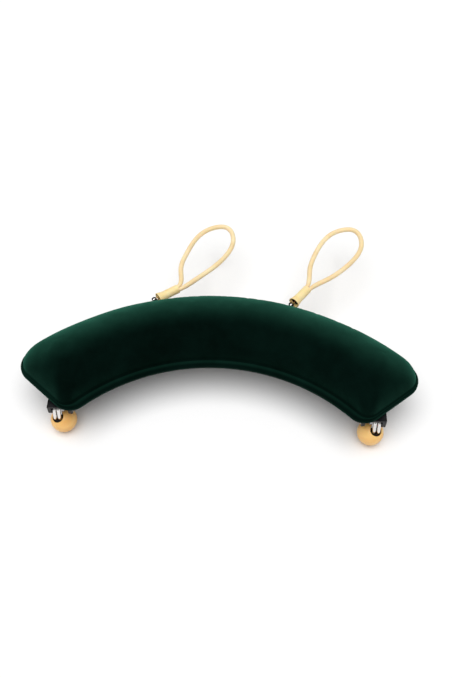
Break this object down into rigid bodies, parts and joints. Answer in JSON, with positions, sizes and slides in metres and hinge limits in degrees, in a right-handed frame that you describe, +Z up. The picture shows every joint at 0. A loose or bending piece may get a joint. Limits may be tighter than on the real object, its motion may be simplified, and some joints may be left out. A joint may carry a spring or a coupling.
{
  "type": "hair clip",
  "caption": "Crescent velvet-padded hair clip on a thin plate, with sprung ball-ended wire arms at its inner corners and elastic cord loops in bell sleeves on its outer edge.",
  "frame": {"origin": "on the underside of the backing liner, halfway along the crescent and halfway across it", "axes": "+X to the right along the crescent, +Y towards the outer edge with the cord loops, +Z up through the padded side"},
  "size_m": [0.1356, 0.0896, 0.0271],
  "materials": {
    "velvet": "short pile velvet",
    "foam": "matt closed-cell foam",
    "black_plate": "satin",
    "liner": "felt",
    "black_metal": "satin",
    "steel": "satin",
    "silver_wire": "polished",
    "amber": "satin",
    "amber_sleeve": "satin",
    "amber_cord": "satin",
    "black_plastic": "matt"
  },
  "bodies": {
    "clip_body": {"velvet_cover": "velvet", "foam_pad": "foam", "base_plate": "black_plate", "backing_liner": "liner", "bracket_rivets": "steel", "lug_rivets": "steel", "left_arm_bracket": "black_metal", "left_hinge_pin": "steel", "left_torsion_spring": "steel", "left_loop_lug": "black_metal", "right_arm_bracket": "black_metal", "right_hinge_pin": "steel", "right_torsion_spring": "steel", "right_loop_lug": "black_metal"},
    "left_arm": {"left_wire_arm": "silver_wire", "left_ball": "amber", "left_ball_plug": "black_plastic"},
    "left_swivel": {"left_swivel_stud": "silver_wire", "left_swivel_pin": "steel"},
    "left_loop": {"left_loop_peg": "silver_wire", "left_loop_sleeve": "amber_sleeve", "left_cord_stop": "black_plastic", "left_elastic_loop": "amber_cord"},
    "right_arm": {"right_wire_arm": "silver_wire", "right_ball": "amber", "right_ball_plug": "black_plastic"},
    "right_swivel": {"right_swivel_stud": "silver_wire", "right_swivel_pin": "steel"},
    "right_loop": {"right_loop_peg": "silver_wire", "right_loop_sleeve": "amber_sleeve", "right_cord_stop": "black_plastic", "right_elastic_loop": "amber_cord"}
  },
  "joints": [
    {"name": "left_arm_fold", "type": "hinge", "parent": "clip_body", "child": "left_arm", "pos_m": [-0.0525, -0.031, -0.003], "axis": [1, 0, 0], "range_deg": [-20, 60], "stiffness_Nm_per_rad": 0.01, "deforming": ["left_torsion_spring"]},
    {"name": "left_loop_swing", "type": "hinge", "parent": "clip_body", "child": "left_swivel", "pos_m": [-0.02485, 0.01361, 0.0022], "axis": [0, 0, 1], "range_deg": [-6, 90]},
    {"name": "left_loop_lift", "type": "hinge", "parent": "left_swivel", "child": "left_loop", "pos_m": [-0.02485, 0.01361, 0.0022], "axis": [0.6018, -0.7986, 0], "range_deg": [-5, 50]},
    {"name": "right_arm_fold", "type": "hinge", "parent": "clip_body", "child": "right_arm", "pos_m": [0.0525, -0.031, -0.003], "axis": [1, 0, 0], "range_deg": [-20, 60], "stiffness_Nm_per_rad": 0.01, "deforming": ["right_torsion_spring"]},
    {"name": "right_loop_swing", "type": "hinge", "parent": "clip_body", "child": "right_swivel", "pos_m": [0.02485, 0.01361, 0.0022], "axis": [0, 0, 1], "range_deg": [-25, 40]},
    {"name": "right_loop_lift", "type": "hinge", "parent": "right_swivel", "child": "right_loop", "pos_m": [0.02485, 0.01361, 0.0022], "axis": [0.809, -0.5878, 0], "range_deg": [-5, 50]}
  ]
}
